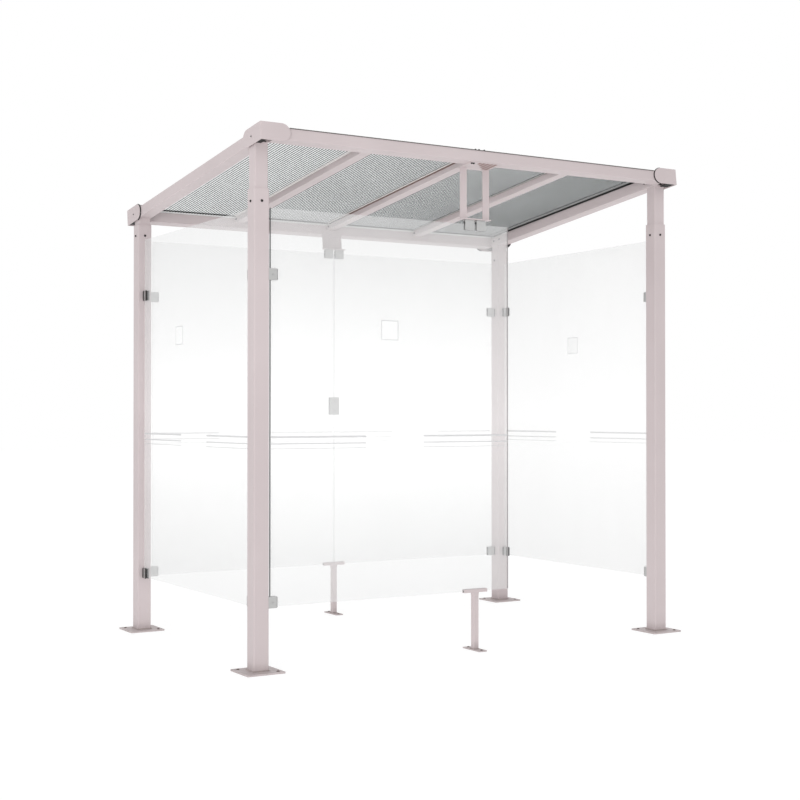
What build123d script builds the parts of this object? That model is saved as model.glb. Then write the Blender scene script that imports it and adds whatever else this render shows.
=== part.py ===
import os
from math import cos, radians, sin
from build123d import *

# Smoking shelter: four posts, a tilted roof frame with multiwall sheets, and five hung glass panels.
# X runs along the front, Y goes to the back, Z is up, and the floor is at zero.

# plan and heights
grid_length = 2500.0
grid_depth = 1550.0
post_top_z = 2318.0
frame_top_z = 2503.0
roof_tilt_deg = 6.5
cut_overrun = 10.0

# posts, telescoping heads and base plates
post_side = 80.0
post_wall = 5.0
post_corner_r = 7.0
head_wall = 3.0
head_corner_r = 5.0
head_overlap = 240.0
head_clearance = 0.3
plate_side = 200.0
plate_thick = 8.0
plate_corner_cut = 4.0
anchor_offset = 72.0
anchor_hole_d = 16.0

# roof frame
frame_height = 60.0
frame_width = 76.0
frame_wall = 3.0
frame_corner_r = 5.0
beam_head_gap = 5.0
rafter_width = 60.0
rafter_height = 30.0
rafter_wall = 2.0
rafter_corner_r = 4.0
bay_count = 4

# corner connectors
cap_wall = 3.0
cap_gap = 6.0
cap_rise = 16.0
cap_drop = 12.0
cap_top_thick = 6.0
cap_front_length = 158.0
cap_side_length = 200.0
cap_sheet_gap = 4.0
cap_edge_r = 4.0
cap_end_plate = 6.0
cap_arch_half = 24.0
cap_arch_rise = 14.0

# roof covering
gasket_width = 12.0
gasket_height = 9.0
gasket_end_gap = 175.0
gasket_inset = 13.0
sheet_thick = 8.0
sheet_skin = 0.7
sheet_web = 0.6
sheet_pitch = 17.0
sheet_beam_lap = 20.0
sheet_edge_lap = 24.0
sheet_joint_gap = 6.0
profile_wall = 1.5
profile_depth = 18.0
profile_foot = 2.0
capping_width = 44.0
capping_thick = 3.0
capping_end_gap = 4.0

# glass panels
glass_thick = 8.0
glass_bottom_z = 308.0
glass_front_offset = 4.0
glass_side_offset = 4.0
glass_front_gap = 22.0
glass_side_gap = 17.0
glass_seam_gap = 8.0
entrance_width = 1000.0

# glass clamps and pads
clamp_side = 57.0
clamp_jaw = 2.5
clamp_back = 10.0
clamp_spacer = 5.0
clamp_lip = 2.0
clamp_corner_cut = 2.5
clamp_upper_z = 1911.0
clamp_lower_z = 330.0
pad_thick = 2.5
pad_margin = 1.0
seam_clamp_width = 62.0
seam_clamp_height = 108.0
seam_clamp_thick = 6.0
seam_clamp_corner_cut = 2.5
seam_clamp_z = 1286.0

# hangers under the roof
hanger_plate = 5.0
hanger_drop = 247.0
hanger_glass_gap = 24.0
hanger_shelf_depth = 44.0
hanger_rafter_gap = 2.0
front_hanger_half = 91.0
front_leg_width = 40.0
front_flange_reach = 72.0
rear_hanger_half = 66.0
rear_shelf_half = 72.0
hanger_clamp_x = 36.0
hanger_clamp_height = 56.0

# floor stands under the glass
foot_width = 50.0
foot_depth = 160.0
foot_thick = 6.0
foot_corner_cut = 3.0
foot_hole_d = 11.0
foot_hole_offset = 62.0
stand_tube = 30.0
stand_wall = 2.0
stand_corner_cut = 2.0
neck_width = 40.0
neck_height = 22.0
neck_corner_cut = 2.0
saddle_length = 144.0
saddle_wall = 4.0
saddle_lip = 14.0

# places worked out from the sizes above
half_x = grid_length / 2
half_y = grid_depth / 2
tilt_sin = sin(radians(roof_tilt_deg))
tilt_cos = cos(radians(roof_tilt_deg))
head_side = post_side - 2 * (post_wall + head_clearance)
frame_outer_x = half_x + frame_width / 2
frame_inner_x = half_x - frame_width / 2
beam_inner_v = (half_y + head_side / 2 + beam_head_gap) / tilt_cos
frame_half_depth = beam_inner_v + frame_width
sheet_half_depth = beam_inner_v + sheet_beam_lap
cap_inner_x = frame_outer_x + cap_gap
cap_inner_v = frame_half_depth + cap_gap
cap_outer_x = cap_inner_x + cap_wall
cap_outer_v = cap_inner_v + cap_wall
cap_low_w = -(frame_height + cap_drop)
cap_mid_w = (cap_rise + cap_low_w) / 2
cap_radius = (cap_rise - cap_low_w) / 2
sheet_outer_x = frame_inner_x + sheet_edge_lap
sheet_low_w = gasket_height
sheet_top_w = gasket_height + sheet_thick
hanger_z = frame_top_z - hanger_drop
glass_top_z = hanger_z - hanger_glass_gap
front_glass_y = half_y + glass_front_offset
side_glass_x = half_x + glass_side_offset
slot_width = glass_thick + 2 * pad_thick
clamp_depth = slot_width + 2 * clamp_jaw
rafter_places = [half_x * (2 * n / bay_count - 1) for n in range(1, bay_count)]

# the roof's own frame: V runs down the slope to the back, W stands square on the roof,
# and both are zero at the middle of the frame's top; the shift keeps the box centred on the posts
roof_shift = (cap_low_w + cap_rise) / -2 * tilt_sin
roof = Pos(0, roof_shift, frame_top_z) * Rot(-roof_tilt_deg, 0, 0)


def block(x0, x1, y0, y1, z0, z1):
    centre = Pos((x0 + x1) / 2, (y0 + y1) / 2, (z0 + z1) / 2)
    return centre * Box(abs(x1 - x0), abs(y1 - y0), abs(z1 - z0))


def tube(width, depth, wall, corner_r, length):
    bore = Rectangle(width - 2 * wall, depth - 2 * wall)
    return extrude(RectangleRounded(width, depth, corner_r) - bore, length)


def cut_outline(width, height, cut):
    # a rectangle with its corners cut off
    return chamfer(Rectangle(width, height).vertices(), cut)


def above_roof_line():
    return roof * block(-cap_outer_x, cap_outer_x, -cap_outer_v, cap_outer_v, -frame_height, half_y)


def post(x, y):
    length = post_top_z - plate_thick
    return Pos(x, y, plate_thick) * tube(post_side, post_side, post_wall, post_corner_r, length)


def post_head(x, y):
    foot_z = post_top_z - head_overlap
    length = frame_top_z + half_y * tilt_sin - foot_z
    shaft = Pos(x, y, foot_z) * tube(head_side, head_side, head_wall, head_corner_r, length)
    return shaft - above_roof_line()


def base_plate(x, y):
    plate = extrude(cut_outline(plate_side, plate_side, plate_corner_cut), plate_thick)
    for side in (-1, 1):
        hole = Cylinder(anchor_hole_d / 2, plate_thick + 2 * cut_overrun)
        plate -= Pos(side * anchor_offset, -side * anchor_offset, plate_thick / 2) * hole
    return Pos(x, y, 0) * plate


def cross_beam(v_side):
    bar = tube(frame_height, frame_width, frame_wall, frame_corner_r, 2 * frame_inner_x)
    v_mid = v_side * (frame_half_depth - frame_width / 2)
    return roof * Pos(-frame_inner_x, v_mid, -frame_height / 2) * Rot(0, 90, 0) * bar


def side_rail(x_side):
    bar = tube(frame_width, frame_height, frame_wall, frame_corner_r, 2 * beam_inner_v)
    return roof * Pos(x_side * half_x, -beam_inner_v, -frame_height / 2) * Rot(-90, 0, 0) * bar


def rafter(x):
    bar = tube(rafter_width, rafter_height, rafter_wall, rafter_corner_r, 2 * beam_inner_v)
    return roof * Pos(x, -beam_inner_v, -rafter_height / 2) * Rot(-90, 0, 0) * bar


def corner_connector(x_side, v_side):
    # a shell of two round-ended cheeks and a lipped top, open below; it stands clear of the tubes'
    # sides and is carried by two plates against their ends, one of them arched over the post
    x_out = x_side * cap_outer_x
    v_out = v_side * cap_outer_v
    x_round = x_side * (cap_outer_x - cap_front_length + cap_radius)
    v_round = v_side * (cap_outer_v - cap_side_length + cap_radius)
    x_cheek = x_side * cap_inner_x
    v_cheek = v_side * cap_inner_v
    disc = Cylinder(cap_radius, cap_wall)
    shell = block(x_round, x_out, v_cheek, v_out, cap_low_w, cap_rise)
    shell += Pos(x_round, (v_cheek + v_out) / 2, cap_mid_w) * Rot(90, 0, 0) * disc
    shell += block(x_cheek, x_out, v_round, v_out, cap_low_w, cap_rise)
    shell += Pos((x_cheek + x_out) / 2, v_round, cap_mid_w) * Rot(0, 90, 0) * disc
    top_w = cap_rise - cap_top_thick
    v_lip = v_side * (sheet_half_depth + profile_wall + cap_sheet_gap)
    x_lip = x_side * (sheet_outer_x + cap_sheet_gap)
    shell += block(x_round, x_out, v_lip, v_out, top_w, cap_rise)
    shell += block(x_lip, x_out, v_round, v_out, top_w, cap_rise)
    x_end = x_side * frame_inner_x
    v_end = v_side * beam_inner_v
    x_plate = x_end + x_side * cap_end_plate
    v_plate = v_end + v_side * cap_end_plate
    x_far = x_side * frame_outer_x
    v_far = v_side * frame_half_depth
    shell += block(x_end, x_plate, v_end, v_far, -frame_height, 0)
    shell += block(x_end, x_plate, v_lip, v_far, 0, top_w)
    shell += block(x_lip, x_far, v_end, v_plate, 0, top_w)
    plate = block(x_end, x_far, v_end, v_plate, -frame_height, 0)
    arch_r = (cap_arch_half ** 2 + cap_arch_rise ** 2) / (2 * cap_arch_rise)
    arch = Cylinder(arch_r, 2 * (cap_end_plate + cut_overrun))
    shell += plate - Pos(x_side * half_x, v_end, cap_arch_rise - frame_height - arch_r) * Rot(90, 0, 0) * arch
    nose = shell.edges().filter_by(Axis.Z).sort_by_distance((x_out, v_out, cap_mid_w))[0]
    return roof * fillet(nose, cap_edge_r)


def roof_gaskets():
    strips = []
    half_run = beam_inner_v - gasket_end_gap
    edge = rafter_width / 2 - gasket_inset
    starts = [(-frame_inner_x, -1), (frame_inner_x, 1)]
    for x in rafter_places:
        starts += [(x - edge, 1), (x + edge, -1)]
    for x, way in starts:
        strips.append(block(x, x + way * gasket_width, -half_run, half_run, 0, gasket_height))
    return [roof * strip for strip in strips]


def sheet_spans():
    joints = [-sheet_outer_x] + rafter_places + [sheet_outer_x]
    half_gap = sheet_joint_gap / 2
    spans = []
    for n in range(bay_count):
        low = joints[n] + (half_gap if n > 0 else 0)
        high = joints[n + 1] - (half_gap if n < bay_count - 1 else 0)
        spans.append((low, high))
    return spans


def roof_sheet(span):
    # twin-wall sheet: two skins joined by webs, with flutes that run down the slope
    width = span[1] - span[0]
    flutes = int(width // sheet_pitch)
    pitch = (width - sheet_web) / flutes
    flute = Rectangle(pitch - sheet_web, sheet_thick - 2 * sheet_skin)
    section = Rectangle(width, sheet_thick) - GridLocations(pitch, sheet_thick, flutes, 1) * flute
    sheet = extrude(section, 2 * sheet_half_depth)
    place = Pos((span[0] + span[1]) / 2, -sheet_half_depth, sheet_low_w + sheet_thick / 2)
    return roof * place * Rot(-90, 0, 0) * sheet


def end_profiles():
    # channels over the sheet ends, each on a foot that closes the gap above the beam's inner edge
    profiles = []
    for low, high in sheet_spans():
        foot_low = max(low, -frame_inner_x)
        foot_high = min(high, frame_inner_x)
        for side in (-1, 1):
            v_out = side * (sheet_half_depth + profile_wall)
            v_end = side * sheet_half_depth
            v_in = v_end - side * profile_depth
            low_w = sheet_low_w - profile_wall
            channel = block(low, high, v_in, v_out, low_w, sheet_top_w + profile_wall)
            channel -= block(low, high, v_in, v_end, sheet_low_w, sheet_top_w)
            channel += block(foot_low, foot_high, v_in, v_in + side * profile_foot, 0, low_w)
            profiles.append(roof * channel)
    return profiles


def cappings():
    strips = []
    edge = sheet_outer_x - capping_width / 2
    half_run = sheet_half_depth - profile_depth - capping_end_gap
    for x in [-edge] + rafter_places + [edge]:
        half = capping_width / 2
        top_w = sheet_top_w + capping_thick
        strips.append(roof * block(x - half, x + half, -half_run, half_run, sheet_top_w, top_w))
    return strips


def glass_x_panel(x0, x1, y):
    half = glass_thick / 2
    return block(x0, x1, y - half, y + half, glass_bottom_z, glass_top_z)


def glass_side_panel(x):
    half = glass_thick / 2
    half_run = half_y - post_side / 2 - glass_side_gap
    return block(x - half, x + half, -half_run, half_run, glass_bottom_z, glass_top_z)


def clamp_body(height):
    # the post's face is at zero, jaws along +X, the glass slot in the middle
    length = clamp_side - clamp_spacer - clamp_lip
    body = extrude(cut_outline(length, height, clamp_corner_cut), clamp_depth)
    body = Pos(clamp_spacer + length / 2, clamp_depth / 2, 0) * Rot(90, 0, 0) * body
    reach = clamp_side + cut_overrun
    half_slot = slot_width / 2
    return body - block(clamp_spacer + clamp_back, reach, -half_slot, half_slot, -height, height)


def clamp_rubbers(gap):
    # a spacer behind the clamp, and two pads whose lips cover the ends of the jaws
    half = clamp_side / 2 - clamp_corner_cut
    half_depth = clamp_depth / 2
    inner = glass_thick / 2
    jaw_end = clamp_side - clamp_lip
    rubbers = [block(0, clamp_spacer, -half_depth, half_depth, -half, half)]
    for side in (-1, 1):
        pad = block(gap, jaw_end, side * inner, side * (inner + pad_thick), -half, half)
        rubbers.append(pad + block(jaw_end, clamp_side, side * inner, side * half_depth, -half, half))
    return rubbers


def clamp_pads(start, reach, height):
    half = height / 2 - pad_margin
    inner = glass_thick / 2
    pads = []
    for side in (-1, 1):
        pads.append(block(start, reach - pad_margin, side * inner, side * (inner + pad_thick), -half, half))
    return pads


def post_clamp_places(x_side, y_side):
    # each place is the middle of a clamp's back on the post, with its turn about Z
    places = []
    face_x = x_side * (half_x - post_side / 2)
    face_y = y_side * (half_y - post_side / 2)
    for z in (clamp_upper_z, clamp_lower_z):
        places.append((Pos(x_side * side_glass_x, face_y, z) * Rot(0, 0, -90 * y_side), glass_side_gap))
        if (x_side, y_side) != (1, -1):
            turn = Rot(0, 0, 90 + 90 * x_side)
            places.append((Pos(face_x, y_side * front_glass_y, z) * turn, glass_front_gap))
    return places


def hanger_clamp_places():
    places = []
    for y in (-front_glass_y, front_glass_y):
        for x in (-hanger_clamp_x, hanger_clamp_x):
            places.append(Pos(x, y, hanger_z) * Rot(0, 90, 0))
    return places


def hanger_clamp():
    # the same clamp with its back against the underside of a hanger's shelf
    body = extrude(cut_outline(hanger_clamp_height, clamp_side, clamp_corner_cut), clamp_depth)
    body = Pos(hanger_clamp_height / 2, clamp_depth / 2, 0) * Rot(90, 0, 0) * body
    reach = hanger_clamp_height + cut_overrun
    half_slot = slot_width / 2
    return body - block(clamp_back, reach, -half_slot, half_slot, -clamp_side, clamp_side)


def seam_clamp():
    plates = []
    outline = cut_outline(seam_clamp_width, seam_clamp_height, seam_clamp_corner_cut)
    plate = Rot(90, 0, 0) * extrude(outline, seam_clamp_thick / 2, both=True)
    reach = slot_width / 2 + seam_clamp_thick / 2
    for side in (-1, 1):
        plates.append(Pos(0, front_glass_y + side * reach, seam_clamp_z) * plate)
    return plates


def glass_pads():
    pads = []
    for x_side, y_side in corners.values():
        for place, gap in post_clamp_places(x_side, y_side):
            pads += [place * rubber for rubber in clamp_rubbers(gap)]
    for place in hanger_clamp_places():
        pads += [place * pad for pad in clamp_pads(hanger_glass_gap, hanger_clamp_height, clamp_side)]
    half_seam = glass_seam_gap / 2
    for turn in (0, 180):
        place = Pos(0, front_glass_y, seam_clamp_z) * Rot(0, 0, turn)
        pads += [place * pad for pad in clamp_pads(half_seam, seam_clamp_width / 2, seam_clamp_height)]
    half_pad = saddle_length / 2 - pad_margin
    half_slot = slot_width / 2
    for y in (-front_glass_y, front_glass_y):
        low_z = glass_bottom_z - pad_thick
        pads.append(block(-half_pad, half_pad, y - half_slot, y + half_slot, low_z, glass_bottom_z))
    return pads


def front_hanger():
    shelf_half = hanger_shelf_depth / 2
    half = front_hanger_half
    shelf_front = -front_glass_y - shelf_half
    shelf_rear = -front_glass_y + shelf_half
    bracket = block(-half, half, shelf_front, shelf_rear, hanger_z, hanger_z + hanger_plate)
    leg_half = hanger_plate / 2
    leg_top = frame_top_z + half_y * tilt_sin
    for side in (-1, 1):
        x_in = side * (half - front_leg_width)
        leg_y = -front_glass_y
        leg = block(x_in, side * half, leg_y - leg_half, leg_y + leg_half, hanger_z, leg_top)
        bracket += leg - above_roof_line()
    v_front = -(beam_inner_v + front_flange_reach)
    low_w = -frame_height - hanger_plate
    return bracket + roof * block(-half, half, v_front, shelf_rear, low_w, -frame_height)


def rear_hanger():
    # a plate on the beam's inner face, cut level at the foot, where a shelf runs forward over the glass
    top_w = -(rafter_height + hanger_rafter_gap)
    drop = frame_top_z - beam_inner_v * tilt_sin - hanger_z
    low_w = -drop / tilt_cos - cut_overrun
    v_in = beam_inner_v - hanger_plate
    plate = roof * block(-rear_hanger_half, rear_hanger_half, v_in, beam_inner_v, low_w, top_w)
    plate -= block(-cap_outer_x, cap_outer_x, 0, cap_outer_v, 0, hanger_z)
    rear_y = roof_shift + v_in * tilt_cos - drop * tilt_sin + hanger_plate / 2
    front_y = front_glass_y - hanger_shelf_depth / 2
    shelf = block(-rear_shelf_half, rear_shelf_half, front_y, rear_y, hanger_z, hanger_z + hanger_plate)
    return plate + shelf


def floor_stand(y):
    foot = extrude(cut_outline(foot_width, foot_depth, foot_corner_cut), foot_thick)
    for side in (-1, 1):
        hole = Cylinder(foot_hole_d / 2, foot_thick + 2 * cut_overrun)
        foot -= Pos(0, side * foot_hole_offset, foot_thick / 2) * hole
    saddle_z = glass_bottom_z - pad_thick - saddle_wall
    neck_z = saddle_z - neck_height
    saddle_depth = slot_width + 2 * saddle_wall
    stem_outline = cut_outline(stand_tube, stand_tube, stand_corner_cut)
    stem_bore = Rectangle(stand_tube - 2 * stand_wall, stand_tube - 2 * stand_wall)
    stem = Pos(0, 0, foot_thick) * extrude(stem_outline - stem_bore, neck_z - foot_thick)
    neck_low = Pos(0, 0, neck_z) * stem_outline
    neck_high = Pos(0, 0, saddle_z) * cut_outline(neck_width, saddle_depth, neck_corner_cut)
    neck = loft([neck_low, neck_high])
    half_l = saddle_length / 2
    half_d = saddle_depth / 2
    floor_z = saddle_z + saddle_wall
    saddle = block(-half_l, half_l, -half_d, half_d, saddle_z, floor_z + saddle_lip)
    half_slot = slot_width / 2
    saddle -= block(-half_l, half_l, -half_slot, half_slot, floor_z, floor_z + saddle_lip)
    return Pos(0, y, 0) * (foot + stem + neck + saddle)


corners = {
    "front_left": (-1, -1),
    "front_right": (1, -1),
    "rear_left": (-1, 1),
    "rear_right": (1, 1),
}
nodes = {}
for name, (x_side, y_side) in corners.items():
    x = x_side * half_x
    y = y_side * half_y
    nodes["post_" + name] = post(x, y)
    nodes["base_plate_" + name] = base_plate(x, y)
    nodes["corner_" + name] = corner_connector(x_side, y_side)
    clamp_places = post_clamp_places(x_side, y_side)
    nodes["clamps_" + name] = [place * clamp_body(clamp_side) for place, gap in clamp_places]

nodes["post_heads_front"] = [post_head(side * half_x, -half_y) for side in (-1, 1)]
nodes["post_heads_rear"] = [post_head(side * half_x, half_y) for side in (-1, 1)]
nodes["front_beam"] = cross_beam(-1)
nodes["rear_beam"] = cross_beam(1)
nodes["side_rail_left"] = side_rail(-1)
nodes["side_rail_right"] = side_rail(1)
for number, x in enumerate(rafter_places, start=1):
    nodes[f"rafter_{number}"] = rafter(x)
nodes["roof_gaskets"] = roof_gaskets()
for number, span in enumerate(sheet_spans(), start=1):
    nodes[f"roof_sheet_{number}"] = roof_sheet(span)
nodes["sheet_end_profiles"] = end_profiles()
nodes["sheet_cappings"] = cappings()

panel_edge = half_x - post_side / 2 - glass_front_gap
entrance_x = half_x - post_side / 2 - entrance_width
nodes["glass_front"] = glass_x_panel(-panel_edge, entrance_x, -front_glass_y)
nodes["glass_back_left"] = glass_x_panel(-panel_edge, -glass_seam_gap / 2, front_glass_y)
nodes["glass_back_right"] = glass_x_panel(glass_seam_gap / 2, panel_edge, front_glass_y)
nodes["glass_left"] = glass_side_panel(-side_glass_x)
nodes["glass_right"] = glass_side_panel(side_glass_x)
nodes["glass_pads"] = glass_pads()
nodes["hanger_clamps"] = [place * hanger_clamp() for place in hanger_clamp_places()]
nodes["seam_clamp"] = seam_clamp()
nodes["front_hanger"] = front_hanger()
nodes["rear_hanger"] = rear_hanger()
nodes["stand_front"] = floor_stand(-front_glass_y)
nodes["stand_rear"] = floor_stand(front_glass_y)

os.makedirs("parts", exist_ok=True)
for name, shape in nodes.items():
    pieces = shape if isinstance(shape, list) else [shape]
    solids = [solid for piece in pieces for solid in piece.solids()]
    export_step(Compound(children=solids) if len(solids) > 1 else solids[0], f"parts/{name}.step")
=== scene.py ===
import bpy
import math
from mathutils import Matrix, Vector


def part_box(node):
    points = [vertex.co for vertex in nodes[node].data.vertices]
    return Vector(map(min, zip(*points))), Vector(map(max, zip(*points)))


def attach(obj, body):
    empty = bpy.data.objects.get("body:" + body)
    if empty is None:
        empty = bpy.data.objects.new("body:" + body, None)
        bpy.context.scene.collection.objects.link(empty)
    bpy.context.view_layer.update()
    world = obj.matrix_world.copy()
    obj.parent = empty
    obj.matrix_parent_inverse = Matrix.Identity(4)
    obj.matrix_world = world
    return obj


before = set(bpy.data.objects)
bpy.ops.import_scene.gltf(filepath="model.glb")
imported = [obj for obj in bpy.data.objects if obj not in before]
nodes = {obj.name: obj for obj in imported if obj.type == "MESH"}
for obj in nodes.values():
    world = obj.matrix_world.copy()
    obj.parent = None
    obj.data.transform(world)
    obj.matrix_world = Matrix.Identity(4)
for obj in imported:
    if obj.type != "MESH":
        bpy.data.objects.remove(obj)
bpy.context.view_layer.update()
print("frame loaded:", len(nodes), "nodes")

# camera at the photograph's angle
view = {
    "place": (-4.152, -6.920, 1.237), "turn": (90.565, 0.0, -31.03),
    "lens": 63.4, "sensor": 36.0, "far": 200.0,
}
bpy.ops.object.camera_add(location=view["place"], rotation=[math.radians(a) for a in view["turn"]])
camera = bpy.context.object
camera.data.lens = view["lens"]
camera.data.sensor_width = view["sensor"]
camera.data.clip_end = view["far"]
bpy.context.scene.camera = camera
bpy.context.scene.view_settings.view_transform = "Standard"
print("camera set")


# node helpers
def addNode(tree, kind, **sockets):
    node = tree.nodes.new(kind)
    for name, value in sockets.items():
        node.inputs[name.replace("_", " ")].default_value = value
    return node


def startMaterial(name):
    material = bpy.data.materials.new(name)
    material.use_nodes = True
    tree = material.node_tree
    shader = tree.nodes["Principled BSDF"]
    place = tree.nodes.new("ShaderNodeTexCoord")
    return material, tree, shader, place.outputs["Object"]


def noiseOf(tree, place, scale, detail=3.0, stretch=None):
    noise = addNode(tree, "ShaderNodeTexNoise", Scale=scale, Detail=detail)
    source = place
    if stretch:
        mapping = addNode(tree, "ShaderNodeMapping", Scale=stretch)
        tree.links.new(place, mapping.inputs["Vector"])
        source = mapping.outputs["Vector"]
    tree.links.new(source, noise.inputs["Vector"])
    return noise.outputs["Fac"]


def rampOf(tree, factor, stops):
    ramp = tree.nodes.new("ShaderNodeValToRGB")
    ramp.color_ramp.elements[0].position = stops[0][0]
    ramp.color_ramp.elements[0].color = stops[0][1]
    ramp.color_ramp.elements[1].position = stops[-1][0]
    ramp.color_ramp.elements[1].color = stops[-1][1]
    for position, colour in stops[1:-1]:
        ramp.color_ramp.elements.new(position).color = colour
    tree.links.new(factor, ramp.inputs["Fac"])
    return ramp.outputs["Color"]


def rangeOf(tree, value, fromMin, fromMax, toMin, toMax):
    node = addNode(
        tree, "ShaderNodeMapRange", From_Min=fromMin, From_Max=fromMax, To_Min=toMin, To_Max=toMax
    )
    tree.links.new(value, node.inputs["Value"])
    return node.outputs["Result"]


def bumpOf(tree, shader, height, strength, distance):
    bump = addNode(tree, "ShaderNodeBump", Strength=strength, Distance=distance)
    tree.links.new(height, bump.inputs["Height"])
    tree.links.new(bump.outputs["Normal"], shader.inputs["Normal"])


def mixOf(tree, factor, first, second, blend="MIX"):
    mix = tree.nodes.new("ShaderNodeMix")
    mix.data_type = "RGBA"
    mix.blend_type = blend
    for socket, value in ((mix.inputs[0], factor), (mix.inputs[6], first), (mix.inputs[7], second)):
        if isinstance(value, (float, tuple)):
            socket.default_value = value
        else:
            tree.links.new(value, socket)
    return mix.outputs[2]


def grey(red, green, blue):  # a screen colour as linear light
    parts = []
    for part in (red, green, blue):
        share = part / 255
        parts.append(share / 12.92 if share <= 0.04045 else ((share + 0.055) / 1.055) ** 2.4)
    return (*parts, 1.0)


grainEnds = (0.3, 0.7)  # where most of a noise's values lie
cloudEnds = (0.35, 0.65)


def toneOf(tree, factor, ends, dark, light):
    return rampOf(tree, factor, [(ends[0], grey(*dark)), (ends[1], grey(*light))])


# finishes
def powderCoat(name, look):
    material, tree, shader, place = startMaterial(name)
    cloud = noiseOf(tree, place, look["cloudScale"])
    body = toneOf(tree, cloud, cloudEnds, look["dark"], look["light"])
    axes = tree.nodes.new("ShaderNodeSeparateXYZ")
    tree.links.new(place, axes.inputs["Vector"])
    # darker towards the bottom: the lowest few centimetres take a darker tone, painted shade at the feet
    # of the posts, which also darkens the base plates
    low = rangeOf(tree, axes.outputs["Z"], 0.0, look["footShadeHeight"], look["footShadeShare"], 0.0)
    speck = noiseOf(tree, place, look["speckScale"], detail=5.0)
    footShade = tree.nodes.new("ShaderNodeMath")
    footShade.operation = "MULTIPLY"
    tree.links.new(low, footShade.inputs[0])
    tree.links.new(speck, footShade.inputs[1])
    coat = mixOf(tree, footShade.outputs["Value"], body, grey(*look["footShade"]))
    tree.links.new(coat, shader.inputs["Base Color"])
    tree.links.new(rangeOf(tree, speck, *grainEnds, *look["roughness"]), shader.inputs["Roughness"])
    peel = noiseOf(tree, place, look["peelScale"], detail=2.0)
    bumpOf(tree, shader, peel, look["peel"], look["peelDepth"])
    return material


def satinSteel(name, look):
    material, tree, shader, place = startMaterial(name)
    grain = noiseOf(tree, place, look["grainScale"], detail=4.0, stretch=look["grainStretch"])
    shade = toneOf(tree, grain, grainEnds, look["dark"], look["light"])
    # on the rear clamps the jaws are darker towards both ends: painted reflections
    if "ends" in look:  # jaws that darken towards both ends
        axes = tree.nodes.new("ShaderNodeSeparateXYZ")
        tree.links.new(place, axes.inputs["Vector"])
        along = rangeOf(tree, axes.outputs["Y"], *look["span"], 0.0, 1.0)
        shade = mixOf(tree, 1.0, shade, rampOf(tree, along, look["ends"]), "MULTIPLY")
    tree.links.new(shade, shader.inputs["Base Color"])
    shader.inputs["Metallic"].default_value = look["metal"]
    tree.links.new(rangeOf(tree, grain, *grainEnds, *look["roughness"]), shader.inputs["Roughness"])
    bumpOf(tree, shader, grain, look["bump"], look["bumpDepth"])
    return material


def blackRubber(name, look):
    material, tree, shader, place = startMaterial(name)
    grain = noiseOf(tree, place, look["grainScale"])
    shade = toneOf(tree, grain, grainEnds, look["dark"], look["light"])
    tree.links.new(shade, shader.inputs["Base Color"])
    tree.links.new(rangeOf(tree, grain, *grainEnds, *look["roughness"]), shader.inputs["Roughness"])
    bumpOf(tree, shader, grain, look["bump"], look["bumpDepth"])
    return material


def sealStrips(name, look):  # each strip along the roof has its own tone
    material, tree, shader, place = startMaterial(name)
    axes = tree.nodes.new("ShaderNodeSeparateXYZ")
    tree.links.new(place, axes.inputs["Vector"])
    across = rangeOf(tree, axes.outputs["X"], -look["reach"], look["reach"], 0.0, 1.0)
    strips = rampOf(tree, across, [(share, grey(*tone)) for share, tone in look["strips"]])
    grain = noiseOf(tree, place, look["grainScale"])
    worn = toneOf(tree, grain, grainEnds, look["dark"], look["light"])
    tree.links.new(mixOf(tree, look["wornShare"], strips, worn), shader.inputs["Base Color"])
    tree.links.new(rangeOf(tree, grain, *grainEnds, *look["roughness"]), shader.inputs["Roughness"])
    bumpOf(tree, shader, grain, look["bump"], look["bumpDepth"])
    return material


squareEnds = (0.4, 0.6)  # how far a face may tilt and still count as square to an axis


def facingOf(tree, axis):  # 1 on faces square to the axis, 0 on faces along it
    geometry = tree.nodes.new("ShaderNodeNewGeometry")
    axes = tree.nodes.new("ShaderNodeSeparateXYZ")
    tree.links.new(geometry.outputs["True Normal"], axes.inputs["Vector"])
    facing = tree.nodes.new("ShaderNodeMath")
    facing.operation = "ABSOLUTE"
    tree.links.new(axes.outputs[axis], facing.inputs[0])
    return facing.outputs["Value"]


def shaderMix(tree, factor, first, second):
    mix = tree.nodes.new("ShaderNodeMixShader")
    tree.links.new(factor, mix.inputs["Fac"])
    tree.links.new(first, mix.inputs[1])
    tree.links.new(second, mix.inputs[2])
    return mix.outputs["Shader"]


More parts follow.
